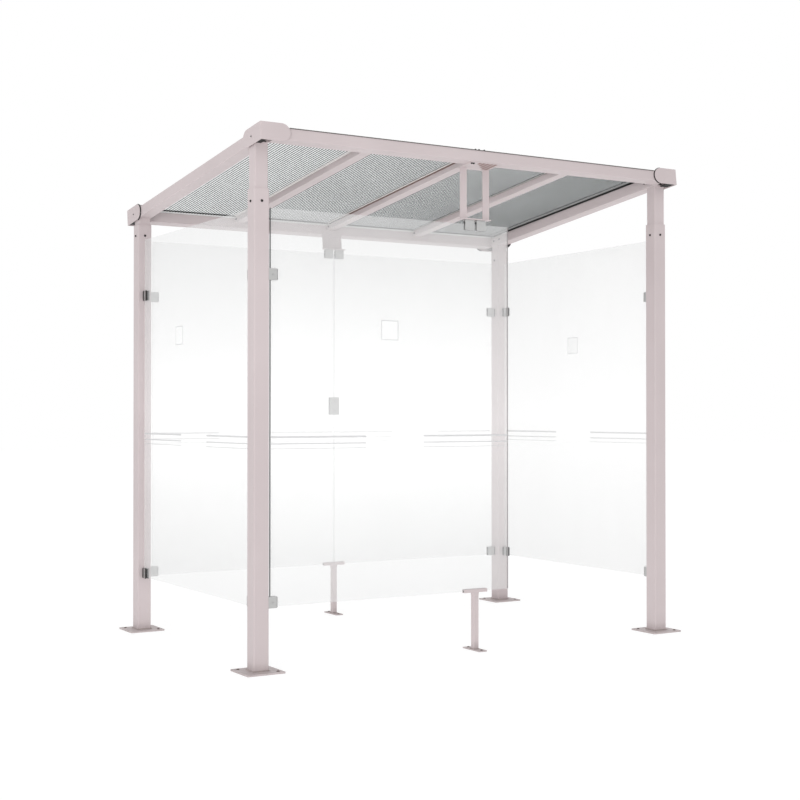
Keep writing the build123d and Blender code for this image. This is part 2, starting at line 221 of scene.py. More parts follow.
def clearGlass(name, look):
    # broad faces let the light through behind a soft veil of painted reflection, a faint white glow and a
    # cover whose tone changes with height; the upright polished ends are denser
    material, tree, shader, place = startMaterial(name)
    axes = tree.nodes.new("ShaderNodeSeparateXYZ")
    tree.links.new(place, axes.inputs["Vector"])
    smear = noiseOf(tree, place, look["smearScale"], detail=4.0, stretch=look["smearStretch"])
    height = rangeOf(tree, axes.outputs["Z"], look["reflectionFrom"], look["reflectionTo"], 0.0, 1.0)
    veils = [(0.0, look["veilFoot"]), (look["clearAt"], look["veilLow"]), (1.0, look["veilHigh"])]
    reflectionTone = rampOf(tree, height, veils)
    dense = tree.nodes.new("ShaderNodeMath")
    dense.operation = "MULTIPLY"
    tree.links.new(rangeOf(tree, smear, *grainEnds, *look["veil"]), dense.inputs[0])
    tree.links.new(rangeOf(tree, height, look["thickenAt"], 1.0, 1.0, look["topShare"]), dense.inputs[1])
    cover = dense.outputs["Value"]
    edge = rangeOf(tree, facingOf(tree, look["endAxis"]), *squareEnds, 0.0, look["edgeCover"])
    polish = rampOf(tree, smear, [(grainEnds[0], look["edgeDark"]), (grainEnds[1], look["edgeLight"])])
    body = mixOf(tree, edge, reflectionTone, polish)
    tree.links.new(body, shader.inputs["Base Color"])
    shader.inputs["Roughness"].default_value = look["roughness"]
    shader.inputs["IOR"].default_value = look["ior"]
    paintedGlow = mixOf(tree, edge, look["glowTone"], look["edgeTone"])
    tree.links.new(paintedGlow, shader.inputs["Emission Color"])
    shader.inputs["Emission Strength"].default_value = look["paintedGlow"]
    clear = addNode(tree, "ShaderNodeBsdfTransparent", Color=look["tint"])
    solid = tree.nodes.new("ShaderNodeMath")
    solid.operation = "MAXIMUM"
    tree.links.new(cover, solid.inputs[0])
    tree.links.new(edge, solid.inputs[1])
    whole = shaderMix(tree, solid.outputs["Value"], clear.outputs["BSDF"], shader.outputs["BSDF"])
    tree.links.new(whole, tree.nodes["Material Output"].inputs["Surface"])
    return material


def multiwallSheet(name, look):
    # clear twin-wall plastic: thin skins that show little, and denser webs between the flutes; the webs'
    # dark grey and its cloudy patches are painted reflection and shade
    material, tree, shader, place = startMaterial(name)
    cloud = noiseOf(tree, place, look["cloudScale"])
    web = rangeOf(tree, facingOf(tree, "X"), *squareEnds, 0.0, 1.0)
    skin = toneOf(tree, cloud, cloudEnds, look["skinDark"], look["skinLight"])
    wall = toneOf(tree, cloud, cloudEnds, look["webDark"], look["webLight"])
    tree.links.new(mixOf(tree, web, skin, wall), shader.inputs["Base Color"])
    tree.links.new(rangeOf(tree, cloud, *grainEnds, *look["roughness"]), shader.inputs["Roughness"])
    ripple = noiseOf(tree, place, look["rippleScale"], detail=2.0, stretch=look["rippleStretch"])
    bumpOf(tree, shader, ripple, look["bump"], look["bumpDepth"])
    clear = addNode(tree, "ShaderNodeBsdfTransparent", Color=look["tint"])
    cover = rangeOf(tree, web, 0.0, 1.0, look["skinCover"], look["webCover"])
    whole = shaderMix(tree, cover, clear.outputs["BSDF"], shader.outputs["BSDF"])
    tree.links.new(whole, tree.nodes["Material Output"].inputs["Surface"])
    return material


def printedBand(name, look):
    material, tree, shader, place = startMaterial(name)
    grain = noiseOf(tree, place, look["grainScale"], detail=2.0)
    shade = toneOf(tree, grain, grainEnds, look["dark"], look["light"])
    tree.links.new(shade, shader.inputs["Base Color"])
    shader.inputs["Roughness"].default_value = look["roughness"]
    # a faint glow here is painted light, used on the frosted squares
    shader.inputs["Emission Color"].default_value = (1.0, 1.0, 1.0, 1.0)
    shader.inputs["Emission Strength"].default_value = look["paintedGlow"]
    clear = addNode(tree, "ShaderNodeBsdfTransparent", Color=look["tint"])
    cover = rangeOf(tree, grain, *grainEnds, *look["cover"])
    whole = shaderMix(tree, cover, clear.outputs["BSDF"], shader.outputs["BSDF"])
    tree.links.new(whole, tree.nodes["Material Output"].inputs["Surface"])
    return material


# the darker foot tone and its height paint shade at the feet of the posts and on the base plates
coatLook = {
    "dark": (200, 188, 189), "light": (206, 194, 195), "footShade": (148, 137, 135), "cloudScale": 2.2,
    "footShadeHeight": 0.05, "footShadeShare": 0.75, "speckScale": 38.0, "roughness": (0.42, 0.52),
    "peelScale": 520.0, "peel": 0.22, "peelDepth": 0.0006,
}
castLook = dict(coatLook, peelScale=380.0, peel=0.32, roughness=(0.46, 0.56))
bracketLook = dict(coatLook, peelScale=600.0, cloudScale=5.0)
steelLook = {
    "dark": (180, 180, 180), "light": (200, 200, 199), "metal": 1.0, "grainScale": 60.0,
    "grainStretch": (1.0, 1.0, 14.0), "roughness": (0.3, 0.42), "bump": 0.12, "bumpDepth": 0.0004,
}
anchorLook = dict(
    steelLook, dark=(128, 126, 125), light=(156, 154, 152), grainScale=180.0, grainStretch=(1.0, 1.0, 1.0)
)
footLook = dict(anchorLook, dark=(92, 76, 73), light=(118, 100, 96), metal=0.5, roughness=(0.42, 0.55))
boltLook = dict(anchorLook, dark=(52, 50, 50), light=(74, 72, 72), roughness=(0.36, 0.5))
trimLook = dict(
    steelLook, dark=(222, 221, 220), light=(236, 235, 234), metal=0.0,
    grainStretch=(14.0, 0.4, 1.0), roughness=(0.38, 0.5),
)
rubberLook = {
    "dark": (14, 13, 13), "light": (30, 28, 28), "grainScale": 260.0,
    "roughness": (0.6, 0.8), "bump": 0.25, "bumpDepth": 0.0005,
}
# gasket tones across the roof: black at the rails; white on the first rafter, a painted highlight line;
# brown on the second, painted shade; pale on the third
sealLook = dict(rubberLook, reach=1.3, wornShare=0.06, strips=(
    (0.1, (40, 38, 38)), (0.15, (226, 224, 222)), (0.37, (226, 224, 222)), (0.42, (150, 132, 124)),
    (0.6, (150, 132, 124)), (0.66, (196, 186, 184)), (0.85, (196, 186, 184)), (0.9, (40, 38, 38)),
))
# the veil's cover, glow and tones by height paint the reflection of the bright surroundings on the glass
glassLook = {
    "endAxis": "X", "smearScale": 2.4, "smearStretch": (1.0, 1.0, 0.35), "roughness": 0.06, "ior": 1.45,
    "veil": (0.215, 0.245), "thickenAt": 0.5, "topShare": 1.15, "tint": (1.0, 1.0, 1.0, 1.0),
    "paintedGlow": 0.2, "glowTone": (1.0, 1.0, 1.0, 1.0), "edgeTone": (0.0, 0.0, 0.0, 1.0),
    "reflectionFrom": 0.35, "reflectionTo": 2.2, "clearAt": 0.46, "veilFoot": (0.6, 0.605, 0.605, 1.0),
    "veilLow": (0.97, 0.97, 0.97, 1.0), "veilHigh": (0.58, 0.585, 0.585, 1.0),
    "edgeDark": (0.02, 0.025, 0.025, 1.0), "edgeLight": (0.05, 0.06, 0.06, 1.0), "edgeCover": 0.9,
}
paleEnd = {
    "edgeDark": (0.5, 0.44, 0.4, 1.0), "edgeLight": (0.6, 0.54, 0.5, 1.0), "edgeCover": 0.35,
}
# the webs' dark grey and the cloudy patches are painted reflection and shade
sheetLook = {
    "skinDark": (196, 198, 198), "skinLight": (214, 216, 216), "skinCover": 0.03,
    "webDark": (68, 70, 70), "webLight": (106, 108, 108), "webCover": 0.56, "cloudScale": 1.6,
    "roughness": (0.16, 0.26), "rippleScale": 90.0, "rippleStretch": (1.0, 0.08, 1.0),
    "bump": 0.08, "bumpDepth": 0.001, "tint": (0.985, 0.99, 0.99, 1.0),
}
bandLook = {
    "dark": (218, 218, 219), "light": (230, 230, 231), "grainScale": 300.0, "roughness": 0.6,
    "tint": (1.0, 1.0, 1.0, 1.0), "cover": (0.6, 0.75), "paintedGlow": 0.0,
}
# the frosted squares glow faintly, painted light
frostLook = dict(bandLook, dark=(246, 247, 247), light=(252, 252, 252), cover=(0.4, 0.5), paintedGlow=0.1)
seamLook = dict(bandLook, dark=(228, 229, 229), light=(238, 239, 239), cover=(0.2, 0.26))
borderLook = dict(bandLook, dark=(206, 208, 208), light=(218, 220, 220), cover=(0.4, 0.5))
# weld beads darker than the frame coat: painted shade where the posts and stands meet their feet
beadLook = dict(
    coatLook, dark=(150, 136, 133), light=(168, 154, 151), peelScale=160.0, peel=0.5, cloudScale=30.0
)

coat = powderCoat("framePowderCoat", coatLook)
castCoat = powderCoat("cornerPowderCoat", castLook)
bracketCoat = powderCoat("bracketPowderCoat", bracketLook)
beadCoat = powderCoat("weldCoatPaintedShade", beadLook)
steel = satinSteel("clampSatinSteel", steelLook)
anchorSteel = satinSteel("anchorSteel", anchorLook)
boltSteel = satinSteel("boltBlackSteel", boltLook)
footSteel = satinSteel("anchorBrownSteel", footLook)
paleTrim = satinSteel("trimWhite", trimLook)
rubber = blackRubber("padRubber", rubberLook)
# white strips and tapes that stand for painted highlight lines along the rafters
paintedHighlightStrip = blackRubber("paintedHighlightStrip", dict(rubberLook, dark=(228, 226, 224), light=(240, 238, 236)))
# brown for the gasket of the second rafter, darkened as painted shade
brownStrip = blackRubber("brownStrip", dict(rubberLook, dark=(112, 88, 84), light=(132, 106, 101)))
# pale brown for the stepped strips under the front hanger: painted shade on its underside
paleBrownShade = blackRubber("hangerUndersideShade", dict(rubberLook, dark=(146, 122, 119), light=(164, 140, 136)))
silverTape = blackRubber("silverTape", dict(rubberLook, dark=(150, 152, 152), light=(162, 164, 164)))
# tones along the rear clamp jaws: the dark ends are painted reflections
jawReflections = [
    (0.0, (0.05, 0.05, 0.05, 1.0)), (0.22, (0.07, 0.07, 0.07, 1.0)), (0.34, (1.0, 1.0, 1.0, 1.0)),
    (0.6, (1.0, 1.0, 1.0, 1.0)), (0.7, (0.14, 0.14, 0.14, 1.0)), (0.97, (0.14, 0.14, 0.14, 1.0)),
    (1.0, (1.0, 1.0, 1.0, 1.0)),
]
rearSteel = satinSteel("clampSteelPaintedReflections", dict(steelLook, span=(0.678, 0.737), ends=jawReflections))
seamSteel = satinSteel("seamSatinSteel", dict(steelLook, dark=(158, 158, 158), light=(182, 182, 181)))
endRubber = blackRubber("glassEndStrip", dict(rubberLook, dark=(64, 68, 68), light=(84, 88, 88)))
paleRubber = blackRubber("glassEndPale", dict(rubberLook, dark=(140, 132, 132), light=(158, 150, 150)))
greyRubber = blackRubber("stripRubber", dict(rubberLook, dark=(84, 80, 79), light=(104, 99, 97)))
seal = sealStrips("roofSeals", sealLook)
glassFront = clearGlass("glassAcross", glassLook)
innerVeil = (0.7, 0.705, 0.705, 1.0)  # panels seen from inside catch less light
# the side panels are greyer low down, a weaker painted reflection
sideLook = dict(glassLook, endAxis="Y", veilLow=(0.9, 0.9, 0.9, 1.0), **paleEnd)
glassBack = clearGlass("glassBehind", dict(glassLook, veilHigh=innerVeil, **paleEnd))
glassLeft = clearGlass("glassAlongLeft", sideLook)
glassRight = clearGlass("glassAlongRight", dict(sideLook, veilHigh=innerVeil))
sheet = multiwallSheet("roofTwinWall", sheetLook)
band = printedBand("glassPrint", bandLook)
frost = printedBand("glassFrost", frostLook)
border = printedBand("frostBorder", borderLook)
seamSeal = printedBand("seamSeal", seamLook)
print("finishes made")


def dress(prefixes, material):
    for name, node in nodes.items():
        if name.startswith(prefixes):
            for slot in node.material_slots:
                slot.material = material


dress(("post_", "base_plate", "front_beam", "rear_beam", "side_rail", "rafter"), coat)
dress(("corner_",), castCoat)
dress(("front_hanger", "rear_hanger", "stand_"), bracketCoat)
dress(("clamps_", "hanger_clamps"), steel)
dress(("clamps_rear",), rearSteel)
dress(("seam_clamp",), seamSteel)
dress(("glass_front",), glassFront)
dress(("glass_back",), glassBack)
dress(("glass_left",), glassLeft)
dress(("glass_right",), glassRight)
dress(("glass_pads",), rubber)
dress(("roof_gaskets",), seal)
dress(("roof_sheet",), sheet)
dress(("sheet_",), paleTrim)
print("nodes dressed")


# modelling helpers
roundSides = 24
domeSteps = ((0.45, 0.93), (0.35, 0.82), (0.2, 0.74))  # share of the dome, share of the ring before
socketTaper = 0.92
smoothAngle = 35.0
edgeSegments = 2
squareShare = 0.9  # least share of an axis in the normal of a face square to it


def clearSelection():
    bpy.ops.object.select_all(action="DESELECT")


def pickFaces(piece, test):
    bpy.ops.object.mode_set(mode="EDIT")
    bpy.ops.mesh.select_mode(type="FACE")
    bpy.ops.mesh.select_all(action="DESELECT")
    bpy.ops.object.mode_set(mode="OBJECT")
    for face in piece.data.polygons:
        face.select = test(face)
    bpy.ops.object.mode_set(mode="EDIT")


def pickVertices(piece, test):
    bpy.ops.object.mode_set(mode="EDIT")
    bpy.ops.mesh.select_mode(type="VERT")
    bpy.ops.mesh.select_all(action="DESELECT")
    bpy.ops.object.mode_set(mode="OBJECT")
    for vertex in piece.data.vertices:
        vertex.select = test(vertex)
    bpy.ops.object.mode_set(mode="EDIT")


def facesUp(face):
    return face.normal.z > squareShare


def stepUp(height, share):  # one more ring, higher and scaled
    bpy.ops.mesh.extrude_region_move(TRANSFORM_OT_translate={"value": (0, 0, height)})
    bpy.ops.transform.resize(value=(share, share, 1))


def settle(piece, name, material):
    clearSelection()
    piece.select_set(True)
    bpy.context.view_layer.objects.active = piece
    bpy.ops.object.transform_apply(location=True, rotation=True, scale=True)
    bpy.ops.object.shade_smooth_by_angle(angle=math.radians(smoothAngle))
    piece.name = name
    piece.data.materials.clear()
    piece.data.materials.append(material)
    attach(piece, "root")


def spread(master, places, name, material):  # copies of one model, each turned its own way
    clearSelection()
    copies = []
    for point, direction in places:
        copy = master.copy()
        copy.data = master.data.copy()
        bpy.context.scene.collection.objects.link(copy)
        turn = Vector((0, 0, 1)).rotation_difference(Vector(direction)).to_matrix().to_4x4()
        copy.matrix_world = Matrix.Translation(point) @ turn
        copy.select_set(True)
        copies.append(copy)
    bpy.context.view_layer.objects.active = copies[0]
    bpy.ops.object.join()
    settle(copies[0], name, material)
    print(name, len(places))


def roundBar(sides, radius, low, high):  # a cylinder that stands on the given height
    clearSelection()
    place = (0, 0, low + high / 2)
    bpy.ops.mesh.primitive_cylinder_add(vertices=sides, radius=radius, depth=high, location=place)
    bpy.ops.object.transform_apply(location=True)
    return bpy.context.object


def domedScrew(look):  # round head on a washer, with a round socket
    piece = roundBar(roundSides, look["washer"], 0, look["washerThick"])
    pickFaces(piece, facesUp)
    bpy.ops.mesh.inset(thickness=look["washer"] - look["head"])
    stepUp(look["rim"], 1.0)
    topShare = 1.0
    for lift, share in domeSteps:
        stepUp(look["dome"] * lift, share)
        topShare *= share
    bpy.ops.mesh.inset(thickness=look["head"] * topShare - look["socket"])
    stepUp(-look["socketDepth"], socketTaper)
    bpy.ops.object.mode_set(mode="OBJECT")
    return piece


def hexBolt(look):  # washer, chamfered nut and a stub of thread
    piece = roundBar(roundSides, look["washer"], 0, look["washerThick"])
    nut = roundBar(look["nutSides"], look["nut"], look["washerThick"], look["nutHigh"])
    nutTop = look["washerThick"] + look["nutHigh"]
    stub = roundBar(look["stubSides"], look["stub"], nutTop, look["stubHigh"])
    for part in (nut, stub):
        clearSelection()
        part.select_set(True)
        bpy.context.view_layer.objects.active = part
        pickFaces(part, facesUp)
        bpy.ops.mesh.bevel(offset=look["chamfer"], segments=edgeSegments, affect="EDGES")
        bpy.ops.object.mode_set(mode="OBJECT")
    clearSelection()
    for part in (stub, nut, piece):
        part.select_set(True)
    bpy.context.view_layer.objects.active = piece
    bpy.ops.object.join()
    return piece


def softBar(size, edge, segments):  # a bar round the origin with softened edges
    clearSelection()
    bpy.ops.mesh.primitive_cube_add(size=1)
    piece = bpy.context.object
    bpy.ops.transform.resize(value=size)
    bpy.ops.object.transform_apply(scale=True)
    bpy.ops.object.mode_set(mode="EDIT")
    bpy.ops.mesh.select_all(action="SELECT")
    bpy.ops.mesh.bevel(offset=edge, segments=segments, affect="EDGES")
    bpy.ops.object.mode_set(mode="OBJECT")
    return piece


def thicken(piece, thick, offset):
    wall = piece.modifiers.new("wall", "SOLIDIFY")
    wall.thickness = thick
    wall.offset = offset
    bpy.ops.object.modifier_apply(modifier="wall")


def discard(piece):
    mesh = piece.data
    bpy.data.objects.remove(piece)
    bpy.data.meshes.remove(mesh)


# places on the frame
cornerSides = {
    "front_left": (-1, -1), "front_right": (1, -1), "rear_left": (-1, 1), "rear_right": (1, 1),
}


def middle(name):
    low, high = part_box(name)
    return (low + high) / 2


def halfSize(name):
    low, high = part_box(name)
    return (high - low) / 2


frontMiddle = middle("front_beam")
rearMiddle = middle("rear_beam")
slopeRun = (rearMiddle - frontMiddle).normalized()
slopeUp = Vector((1, 0, 0)).cross(slopeRun)
roofMiddle = (frontMiddle + rearMiddle) / 2


def onRoof(x, run, up):  # a point from the roof's middle: along the front, down the slope, square to it
    return roofMiddle + Vector((x, 0, 0)) + slopeRun * run + slopeUp * up


# black round-headed bolts on posts, rails and rafters, small steel screws on the corners
postBolt = {
    "washer": 0.0066, "washerThick": 0.001, "head": 0.0056, "rim": 0.001, "dome": 0.0035,
    "socket": 0.0022, "socketDepth": 0.0022, "height": 2.257,
}
railBolt = {"run": 0.728, "gap": 0.062, "up": 0.003}
rafterBolt = {"run": 0.795, "drop": 0.013}
cornerScrew = dict(postBolt, washer=0.0046, head=0.004, dome=0.0024, socket=0.0016, run=0.8)
frameHigh = 0.030  # the frame's top above its middle


def postBoltPlaces():
    places = []
    for name, (xSide, ySide) in cornerSides.items():
        centre = middle("post_" + name)
        half = halfSize("post_" + name)
        for side in (-1, 1):
            places.append((Vector((centre.x + side * half.x, centre.y, postBolt["height"])), (side, 0, 0)))
        if (xSide, ySide) != (1, 1):
            places.append((Vector((centre.x, centre.y - half.y, postBolt["height"])), (0, -1, 0)))
    return places


def railBoltPlaces():
    places = []
    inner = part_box("side_rail_right")[0].x
    for xSide in (-1, 1):
        for ySide in (-1, 1):
            for run in (railBolt["run"], railBolt["run"] + railBolt["gap"]):
                places.append((onRoof(xSide * inner, ySide * run, railBolt["up"]), (-xSide, 0, 0)))
    return places


def rafterBoltPlaces():
    places = []
    for name in ("rafter_1", "rafter_2", "rafter_3"):
        low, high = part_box(name)
        for ySide in (-1, 1):
            for x, xSide in ((low.x, -1), (high.x, 1)):
                place = onRoof(x, ySide * rafterBolt["run"], frameHigh - rafterBolt["drop"])
                places.append((place, (xSide, 0, 0)))
    return places


def cornerScrewPlaces():
    places = []
    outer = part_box("corner_rear_right")[1].x
    for xSide in (-1, 1):
        for ySide in (-1, 1):
            places.append((onRoof(xSide * outer, ySide * cornerScrew["run"], 0.0), (xSide, 0, 0)))
    return places


screw = domedScrew(postBolt)
spread(screw, postBoltPlaces(), "postBolts", boltSteel)
spread(screw, railBoltPlaces(), "railBolts", boltSteel)
spread(screw, rafterBoltPlaces(), "rafterBolts", boltSteel)
discard(screw)
screw = domedScrew(cornerScrew)
spread(screw, cornerScrewPlaces(), "cornerScrews", anchorSteel)
discard(screw)
print("frame fasteners placed")

# dark strip along the top of the front beam, painted shade on the sheet's end there, and black rubber
# round the corner arms, painted shade in their gaps
beamShade = {"deep": 0.003, "high": 0.004, "beamHalf": 0.038, "edge": 0.0006}
armShade = {
    "radius": 0.0445, "sides": 48, "wide": 0.004, "deep": 0.005, "up": 0.002,
    "frontRun": 0.114, "sideRun": 0.147, "discThick": 0.0015, "discOut": 0.0042,
}
beamRun = (frontMiddle - roofMiddle).dot(slopeRun)


def axesOf(first, third):
    return Matrix((first, third.cross(first), third)).transposed().to_4x4()


def beamShadeStrip():
    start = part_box("corner_front_left")[1].x
    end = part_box("corner_front_right")[0].x
    clearSelection()
    bpy.ops.mesh.primitive_cube_add(size=1)
    piece = bpy.context.object
    bpy.ops.transform.resize(value=(end - start, beamShade["deep"], beamShade["high"]))
    bpy.ops.object.transform_apply(scale=True)
    pickFaces(piece, lambda face: abs(face.normal.x) < squareShare)
    bpy.ops.mesh.bevel(offset=beamShade["edge"], segments=edgeSegments, affect="EDGES")
    bpy.ops.object.mode_set(mode="OBJECT")
    run = beamRun - beamShade["beamHalf"] - beamShade["deep"] / 2
    place = onRoof((start + end) / 2, run, frameHigh - beamShade["high"] / 2)
    piece.matrix_world = Matrix.Translation(place) @ axesOf(Vector((1, 0, 0)), slopeUp)
    settle(piece, "beam_shade_strip", greyRubber)


def halfRound(radius):  # half a circle, left selected in edit mode
    clearSelection()
    bpy.ops.mesh.primitive_circle_add(vertices=armShade["sides"], radius=radius)
    piece = bpy.context.object
    pickVertices(piece, lambda vertex: vertex.co.x < -armShade["wide"])
    bpy.ops.mesh.delete(type="VERT")
    bpy.ops.mesh.select_all(action="SELECT")
    return piece


# black rubber in the gap under the cheek, painted shade there
def armShadeRing(name, place, bulge, outward):  # half ring of rubber in the gap under a round-ended cheek
    piece = halfRound(armShade["radius"])
    bpy.ops.mesh.extrude_region_move(TRANSFORM_OT_translate={"value": (0, 0, armShade["deep"])})
    bpy.ops.object.mode_set(mode="OBJECT")
    thicken(piece, armShade["wide"], 0.0)
    piece.matrix_world = Matrix.Translation(place) @ axesOf(bulge, outward)
    settle(piece, name, rubber)


# black rubber on the cheek's inner face, painted shade
def armShadeDisc(name, place, bulge, outward):  # half disc of rubber behind the cheek
    piece = halfRound(armShade["radius"] - armShade["discThick"])
    bpy.ops.mesh.edge_face_add()
    bpy.ops.object.mode_set(mode="OBJECT")
    thicken(piece, armShade["discThick"], 0.0)
    place = place + outward * armShade["discOut"]
    piece.matrix_world = Matrix.Translation(place) @ axesOf(bulge, outward)
    settle(piece, name, rubber)


roofGap = {"thick": 0.002, "edge": 0.0003}
# The white strips and tapes are painted highlight lines; the brown strips on the second rafter are its
# gasket darkened by painted shade.
rafterStrips = {  # start and end down the slope, low and high above the rafter, finish
    "rafter_1": ((-0.8, 0.8, 0.0, 0.004, coat), (-0.8, 0.8, 0.004, 0.0086, paintedHighlightStrip)),
    "rafter_2": (
        (-0.655, 0.62, 0.0, 0.0058, brownStrip), (-0.8, 0.8, 0.0058, 0.0086, paintedHighlightStrip),
        (-0.655, 0.62, -0.003, 0.0, brownStrip),
    ),
    "rafter_3": ((-0.8, 0.8, 0.0, 0.0052, coat), (-0.8, 0.8, 0.0052, 0.0086, greyRubber)),
}
railStrip = (-0.66, 0.64, 0.0, 0.0086)
tapeWidths = {"rafter_1": 0.012, "rafter_2": 0.010, "rafter_3": 0.006}
tape = {
    "thick": 0.0006, "up": 0.0082, "long": 1.6, "edge": 0.0001,
    "railWide": 0.005, "railLong": 1.3, "sheetWide": 0.026,
}
# black plates in the open undersides of the corners, painted shade
cornerShade = {
    "x": 1.265, "sizeX": 0.052, "nearX": 1.275, "nearSizeX": 0.032, "run": 0.859, "sizeRun": 0.068,
    "thick": 0.002, "drop": 0.066, "edge": 0.0005,
}


def roofBar(name, x, run, up, size, edge, material, slot):  # bar square to the roof
    piece = softBar(size, edge, edgeSegments)
    piece.matrix_world = Matrix.Translation(onRoof(x, run, up)) @ axesOf(Vector((1, 0, 0)), slopeUp)
    settle(piece, name, material)


def tapeBar(name, x, wide, long, material, slot):
    size = (wide, long, tape["thick"])
    roofBar(name, x, 0, frameHigh + tape["up"], size, tape["edge"], material, slot)


def gapStrip(name, x, side, row, material):
    start, end, low, high = row
    size = (roofGap["thick"], end - start, high - low)
    lie = side if low < 0 else -side  # a lip lies outside on the rafter, a strip stands on it
    place = x + lie * roofGap["thick"] / 2, (start + end) / 2, frameHigh + (low + high) / 2
    roofBar(name, *place, size, roofGap["edge"], material, "black_rubber")


for rafter, rows in rafterStrips.items():
    low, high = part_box(rafter)
    for x, side, tag in ((low.x, -1, "left"), (high.x, 1, "right")):
        for count, row in enumerate(rows):
            gapStrip("strip_%s_%s_%d" % (rafter, tag, count), x, side, row[:4], row[4])
        # white tape on each rafter edge, a painted highlight line
        wide = tapeWidths[rafter]
        name = "tape_%s_%s" % (rafter, tag)
        tapeBar(name, x + side * wide / 2, wide, tape["long"], paintedHighlightStrip, "black_rubber")
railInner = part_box("side_rail_right")[0].x
gapStrip("strip_rail_left", -railInner, 1, railStrip, rubber)
gapStrip("strip_rail_right", railInner, -1, railStrip, rubber)
for xSide, tag in ((-1, "left"), (1, "right")):
    x = xSide * (railInner - tape["railWide"] / 2)
    tapeBar("tape_rail_" + tag, x, tape["railWide"], tape["railLong"], rubber, "black_rubber")
    x = xSide * (railInner - tape["railWide"] - tape["sheetWide"] / 2)
    tapeBar("tape_sheet_" + tag, x, tape["sheetWide"], tape["long"], silverTape, "trim_aluminium")
# a black plate under each corner, painted shade
for name, (xSide, ySide) in cornerSides.items():
    x, sizeX = cornerShade["x"], cornerShade["sizeX"]
    if name == "front_left":  # the nearest one is narrower
        x, sizeX = cornerShade["nearX"], cornerShade["nearSizeX"]
    size = (sizeX, cornerShade["sizeRun"], cornerShade["thick"])
    place = xSide * x, ySide * cornerShade["run"], frameHigh - cornerShade["drop"]
    roofBar("shade_corner_" + name, *place, size, cornerShade["edge"], rubber, "black_rubber")
beamShadeStrip()
# black rubber in the gaps of these arms only, painted shade
for name in ("front_right", "rear_right"):
    ySide = cornerSides[name][1]
    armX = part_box("corner_" + name)[1].x - armShade["frontRun"]
    place = onRoof(armX, ySide * (abs(beamRun) + beamShade["beamHalf"]), armShade["up"])
    armShadeRing("shade_ring_front_" + name, place, Vector((-1, 0, 0)), slopeRun * ySide)
for name in ("rear_left", "rear_right"):
    xSide = cornerSides[name][0]
    armRun = abs(beamRun) + beamShade["beamHalf"] - armShade["sideRun"]
    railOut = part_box("side_rail_right")[1].x
    place = onRoof(xSide * railOut, armRun, armShade["up"])
    armShadeRing("shade_ring_side_" + name, place, -slopeRun, Vector((xSide, 0, 0)))
    armShadeDisc("shade_disc_side_" + name, place, -slopeRun, Vector((xSide, 0, 0)))
print("dark lines placed")

# socket screws through the clamps
clampScrew = {
    "washer": 0.0062, "washerThick": 0.0004, "head": 0.0056, "rim": 0.0008, "dome": 0.001,
    "socket": 0.0026, "socketDepth": 0.0016, "reach": 0.009, "inset": 0.012,
    "clampHalf": 0.0285, "seamUp": 0.03,
}


def clampScrewPlaces():
    places = []
    for name, (xSide, ySide) in cornerSides.items():
        for height in clampHeights:
            centre = middle("glass_left") if xSide < 0 else middle("glass_right")
            reach = clampScrew["reach"]
            y = ySide * (halfSize("glass_left").y - clampScrew["inset"])
            places.append((Vector((centre.x - reach, y, height)), (-1, 0, 0)))
            places.append((Vector((centre.x + reach, y, height)), (1, 0, 0)))
            if (xSide, ySide) != (1, -1):
                front = middle("glass_front").y if ySide < 0 else middle("glass_back_left").y
                x = xSide * (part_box("glass_back_right")[1].x - clampScrew["inset"])
                places.append((Vector((x, front - reach, height)), (0, -1, 0)))
                places.append((Vector((x, front + reach, height)), (0, 1, 0)))
    return places


def seamScrewPlaces():
    low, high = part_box("seam_clamp")
    centre = (low + high) / 2
    places = []
    for up in (-clampScrew["seamUp"], clampScrew["seamUp"]):
        places.append((Vector((centre.x, low.y, centre.z + up)), (0, -1, 0)))
        places.append((Vector((centre.x, high.y, centre.z + up)), (0, 1, 0)))
    return places


clampLow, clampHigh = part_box("clamps_front_left")
clampHeights = (clampLow.z + clampScrew["clampHalf"], clampHigh.z - clampScrew["clampHalf"])
screw = domedScrew(clampScrew)
spread(screw, clampScrewPlaces(), "clampScrews", steel)
spread(screw, seamScrewPlaces(), "seamScrews", anchorSteel)
discard(screw)

# self-drilling screws down the roof cappings
cappingScrew = {
    "washer": 0.008, "washerThick": 0.0015, "head": 0.0055, "rim": 0.002, "dome": 0.002,
    "socket": 0.0022, "socketDepth": 0.0015, "count": 7, "endGap": 0.06, "edgeGap": 0.022,
}


def cappingScrewPlaces():
    low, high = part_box("sheet_cappings")
    half = (high.x - low.x) / 2
    runEnd = (high.y - low.y) / 2 / slopeRun.y - cappingScrew["endGap"]
    up = (Vector((0, low.y, high.z)) - roofMiddle).dot(slopeUp)
    edge = half - cappingScrew["edgeGap"]
    columns = [-edge] + [middle("rafter_%d" % n).x for n in (1, 2, 3)] + [edge]
    places = []
    for x in columns:
        for n in range(cappingScrew["count"]):
            run = -runEnd + 2 * runEnd * n / (cappingScrew["count"] - 1)
            places.append((onRoof(x, run, up), slopeUp))
    return places


screw = domedScrew(cappingScrew)
spread(screw, cappingScrewPlaces(), "cappingScrews", anchorSteel)
discard(screw)
print("roof screws placed")

